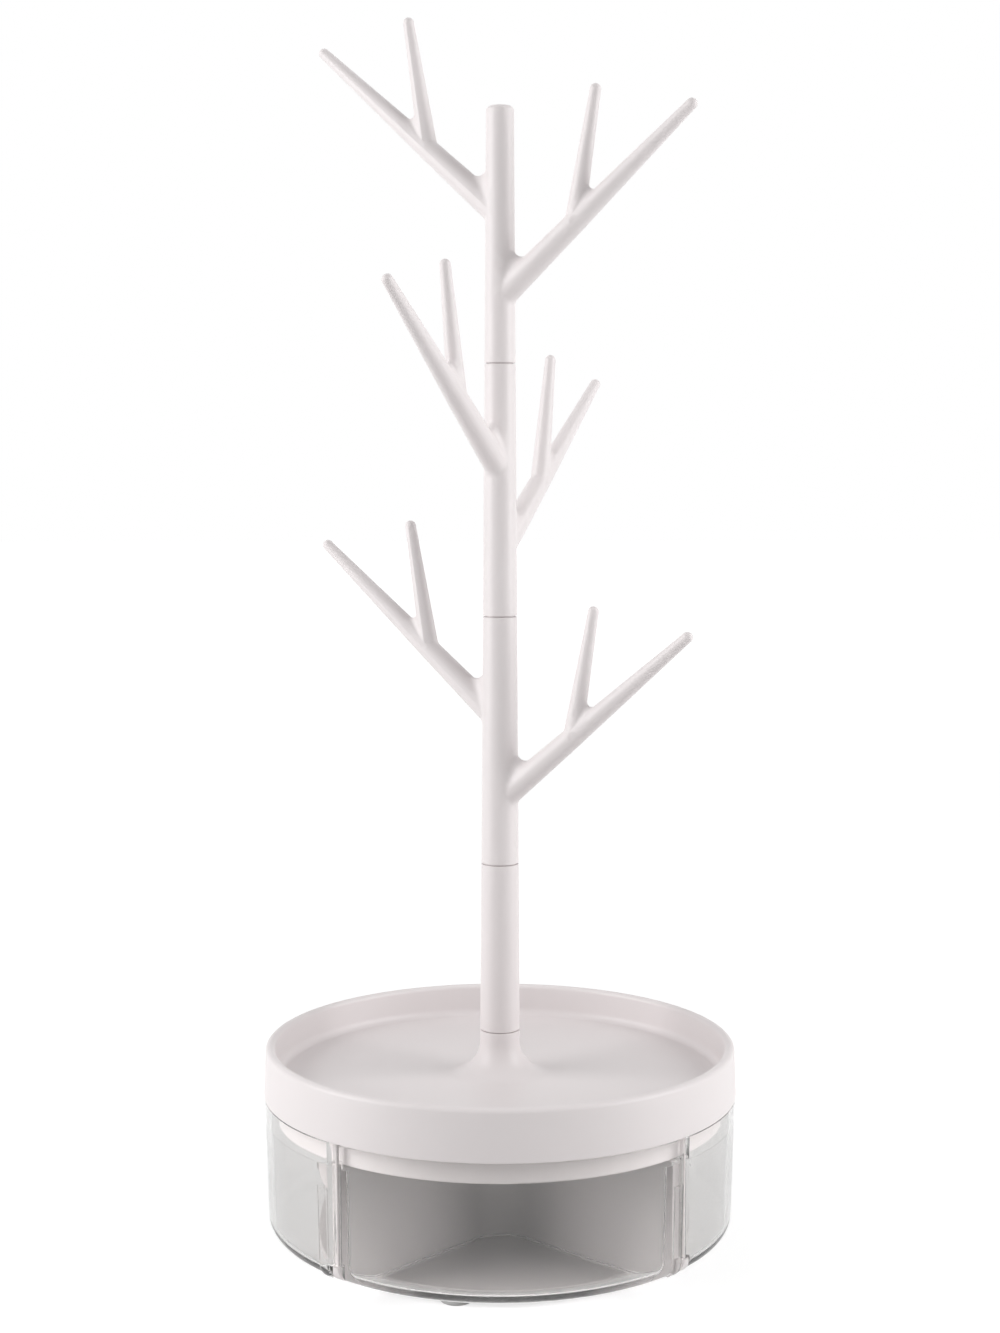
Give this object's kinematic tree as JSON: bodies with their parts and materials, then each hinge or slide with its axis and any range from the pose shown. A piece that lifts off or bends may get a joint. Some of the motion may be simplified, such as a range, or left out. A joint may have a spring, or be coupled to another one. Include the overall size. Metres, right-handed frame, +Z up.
{
  "type": "jewelry stand with swing-out drawers",
  "caption": "Tabletop jewelry tree: tapered pole with forked branches over a round tray and a drum of clear quarter drawers that swing out on corner pins.",
  "frame": {"origin": "centre of the underside, on the pole's axis, at the level that the feet stand on", "axes": "+Z up along the pole, -Y out through the middle of the front drawer, +X to the right seen from the front"},
  "size_m": [0.1456, 0.1456, 0.3773],
  "materials": {
    "white_plastic": "satin moulded white, slightly warm",
    "clear_plastic": "polished clear moulding",
    "steel": "plated screws and bolt",
    "foot_rubber": "matt grey pad"
  },
  "bodies": {
    "stand": {"base_plate": "white_plastic", "partition_frame": "white_plastic", "deck_plate": "white_plastic", "tray": "white_plastic", "pole_tube": "white_plastic", "deck_screws": "steel", "tie_bolt": "steel", "hinge_pin_front": "white_plastic", "foot_front": "foot_rubber", "hinge_pin_right": "white_plastic", "foot_right": "foot_rubber", "hinge_pin_back": "white_plastic", "foot_back": "foot_rubber", "hinge_pin_left": "white_plastic", "foot_left": "foot_rubber"},
    "drawer_front": {"drawer_front": "clear_plastic"},
    "drawer_right": {"drawer_right": "clear_plastic"},
    "drawer_back": {"drawer_back": "clear_plastic"},
    "drawer_left": {"drawer_left": "clear_plastic"},
    "section_lower": {"branch_section_lower": "white_plastic"},
    "section_middle": {"branch_section_middle": "white_plastic"},
    "section_upper": {"branch_section_upper": "white_plastic"}
  },
  "joints": [
    {"name": "swing_front", "type": "hinge", "parent": "stand", "child": "drawer_front", "pos_m": [-0.04822, -0.05134, 0.03], "axis": [0, 0, -1], "range_deg": [0, 90]},
    {"name": "swing_right", "type": "hinge", "parent": "stand", "child": "drawer_right", "pos_m": [0.05134, -0.04822, 0.03], "axis": [0, 0, -1], "range_deg": [0, 90]},
    {"name": "swing_back", "type": "hinge", "parent": "stand", "child": "drawer_back", "pos_m": [0.04822, 0.05134, 0.03], "axis": [0, 0, -1], "range_deg": [0, 90]},
    {"name": "swing_left", "type": "hinge", "parent": "stand", "child": "drawer_left", "pos_m": [-0.05134, 0.04822, 0.03], "axis": [0, 0, -1], "range_deg": [0, 90]},
    {"name": "turn_lower", "type": "hinge", "parent": "stand", "child": "section_lower", "pos_m": [0, 0, 0.1205], "axis": [0, 0, 1], "continuous": true},
    {"name": "turn_middle", "type": "hinge", "parent": "section_lower", "child": "section_middle", "pos_m": [0, 0, 0.1965], "axis": [0, 0, 1], "continuous": true},
    {"name": "turn_upper", "type": "hinge", "parent": "section_middle", "child": "section_upper", "pos_m": [0, 0, 0.2725], "axis": [0, 0, 1], "continuous": true}
  ]
}
